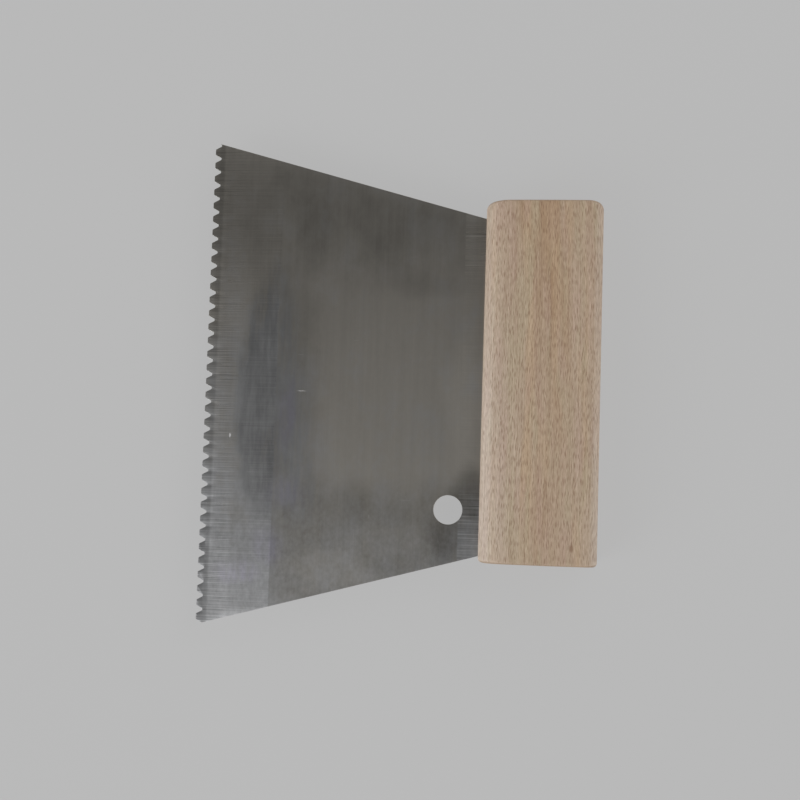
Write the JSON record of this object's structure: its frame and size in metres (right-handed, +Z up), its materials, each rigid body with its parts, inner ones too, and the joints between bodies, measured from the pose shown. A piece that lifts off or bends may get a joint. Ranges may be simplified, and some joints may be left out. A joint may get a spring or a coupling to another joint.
{
  "type": "notched trowel",
  "caption": "Hand spreader with a trapezoidal notched steel blade and a straight beech handle, for combing out floor and wall adhesive.",
  "frame": {"origin": "centre of the handle's flat underside", "axes": "+X from the toothed edge towards the back of the handle, +Y along the handle and the toothed edge, +Z up, square to the blade"},
  "size_m": [0.142, 0.1753, 0.02],
  "materials": {
    "blade_steel": "cold-rolled spring steel, faintly grained, ground across behind the teeth",
    "beech": "bare sanded beech, grain along the handle, short dark rays",
    "dried_glue": "dried amber adhesive",
    "brad_wire": "bright drawn wire, hammered head"
  },
  "bodies": {
    "root": {"blade": "blade_steel", "handle": "beech", "slot_adhesive": "dried_glue", "brad_1": "brad_wire", "brad_2": "brad_wire", "brad_3": "brad_wire"}
  },
  "joints": []
}
